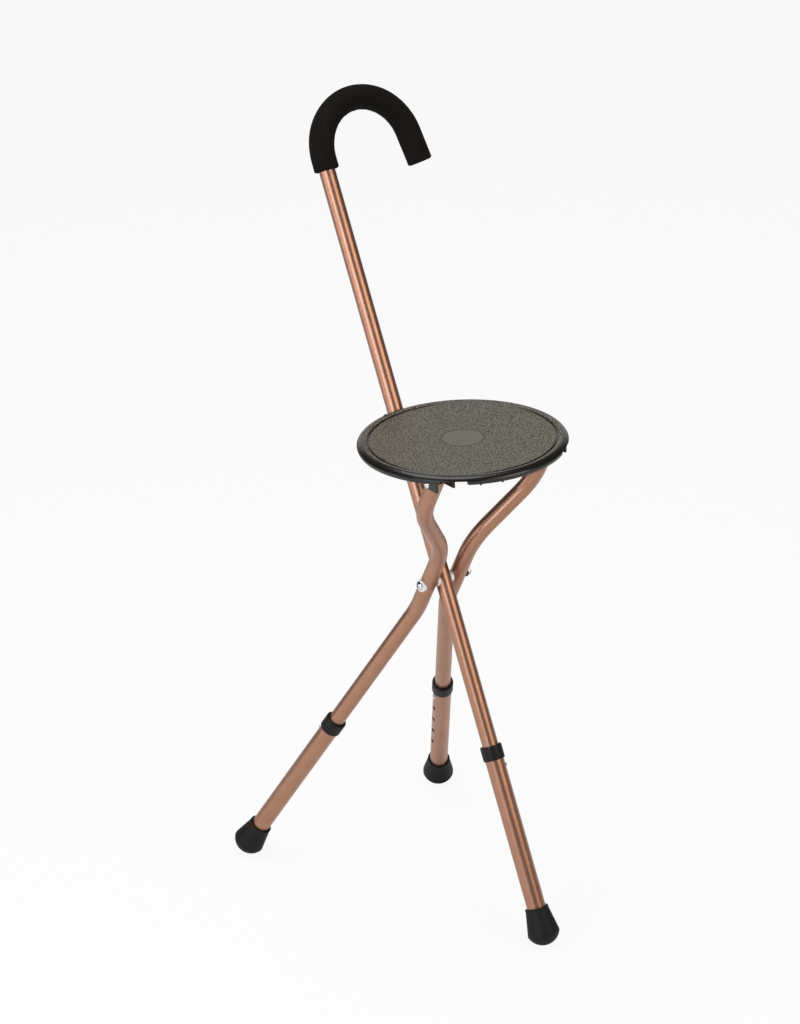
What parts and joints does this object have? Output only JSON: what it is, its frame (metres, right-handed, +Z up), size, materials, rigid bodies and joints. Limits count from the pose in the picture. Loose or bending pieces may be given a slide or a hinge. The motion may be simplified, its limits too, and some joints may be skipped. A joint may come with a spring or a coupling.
{
  "type": "folding walking stick seat",
  "caption": "Height-adjustable walking stick with a curved foam grip that opens into a three-legged round seat on a scissor pivot.",
  "frame": {"origin": "centre of the small flat under the stick's own foot, on the floor, with the seat open", "axes": "+Z up; the stick lies in the XZ plane and its foot reaches out towards +X; the two folding legs stand towards -X, leg A at -Y and leg B at +Y; the crook turns towards +Y"},
  "size_m": [0.4392, 0.3234, 0.9309],
  "materials": {
    "bronze": "satin bronze anodised tube",
    "foam": "fine closed-cell foam sleeve",
    "rubber": "matt moulded rubber",
    "black_plastic": "satin moulded black",
    "seat_plastic": "pebble grain with a smooth glossy rim",
    "nylon": "white moulded nylon",
    "chrome": "polished plate",
    "steel": "zinc plated"
  },
  "bodies": {
    "shaft": {"shaft_tube": "bronze", "foam_grip": "foam", "crook_plug": "black_plastic", "shaft_clip": "steel", "pivot_bolt": "chrome", "pivot_nut": "chrome", "leg_a_spacer": "nylon", "leg_b_spacer": "nylon", "stop_pin": "steel"},
    "leg_a": {"leg_a_tube": "bronze", "leg_a_plug": "black_plastic", "leg_a_clip": "steel", "saddle_washer": "nylon"},
    "leg_b": {"leg_b_tube": "bronze", "leg_b_plug": "black_plastic", "leg_b_clip": "steel", "nut_washer": "black_plastic"},
    "shaft_foot": {"shaft_sleeve": "bronze", "shaft_collar": "black_plastic", "shaft_ferrule": "rubber"},
    "leg_a_foot": {"leg_a_sleeve": "bronze", "leg_a_collar": "black_plastic", "leg_a_ferrule": "rubber"},
    "leg_b_foot": {"leg_b_sleeve": "bronze", "leg_b_collar": "black_plastic", "leg_b_ferrule": "rubber"},
    "shaft_snap": {"shaft_button": "chrome"},
    "leg_a_snap": {"leg_a_button": "chrome"},
    "leg_b_snap": {"leg_b_button": "chrome"},
    "seat": {"seat_shell": "seat_plastic", "seat_cap": "seat_plastic", "seat_hook": "black_plastic", "hook_screws": "steel", "seat_rivet_a": "chrome", "seat_rivet_b": "chrome"}
  },
  "joints": [
    {"name": "leg_a_fold", "type": "hinge", "parent": "shaft", "child": "leg_a", "pos_m": [-0.17252, 0, 0.40507], "axis": [0, -1, 0], "range_deg": [0, 51]},
    {"name": "leg_b_fold", "type": "hinge", "parent": "shaft", "child": "leg_b", "pos_m": [-0.17252, 0, 0.40507], "axis": [0, -1, 0], "range_deg": [0, 51]},
    {"name": "seat_fold", "type": "hinge", "parent": "leg_a", "child": "seat", "pos_m": [-0.06944, 0, 0.58042], "axis": [0, 1, 0], "range_deg": [0, 121.43]},
    {"name": "shaft_length", "type": "slide", "parent": "shaft", "child": "shaft_foot", "axis": [-0.4083, 0, 0.9128], "range_m": [0, 0.112], "deforming": ["shaft_button", "shaft_clip"]},
    {"name": "leg_a_length", "type": "slide", "parent": "leg_a", "child": "leg_a_foot", "axis": [0.4854, 0.2874, 0.8257], "range_m": [0, 0.112], "deforming": ["leg_a_button", "leg_a_clip"]},
    {"name": "leg_b_length", "type": "slide", "parent": "leg_b", "child": "leg_b_foot", "axis": [0.4854, -0.2874, 0.8257], "range_m": [0, 0.112], "deforming": ["leg_b_button", "leg_b_clip"]},
    {"name": "shaft_press", "type": "slide", "parent": "shaft", "child": "shaft_snap", "axis": [0, -1, 0], "range_m": [0, 0.0041], "stiffness_N_per_m": 2000, "springref_m": -0.003, "deforming": ["shaft_clip"]},
    {"name": "leg_a_press", "type": "slide", "parent": "leg_a", "child": "leg_a_snap", "axis": [0.8621, 0, -0.5068], "range_m": [0, 0.0041], "stiffness_N_per_m": 2000, "springref_m": -0.003, "deforming": ["leg_a_clip"]},
    {"name": "leg_b_press", "type": "slide", "parent": "leg_b", "child": "leg_b_snap", "axis": [0.1457, 0.9578, 0.2478], "range_m": [0, 0.0041], "stiffness_N_per_m": 2000, "springref_m": -0.003, "deforming": ["leg_b_clip"]}
  ],
  "couplings": [
    {"joint": "leg_b_fold", "follows": "leg_a_fold", "ratio": 1},
    {"joint": "seat_fold", "follows": "leg_a_fold", "ratio": 2.38}
  ]
}
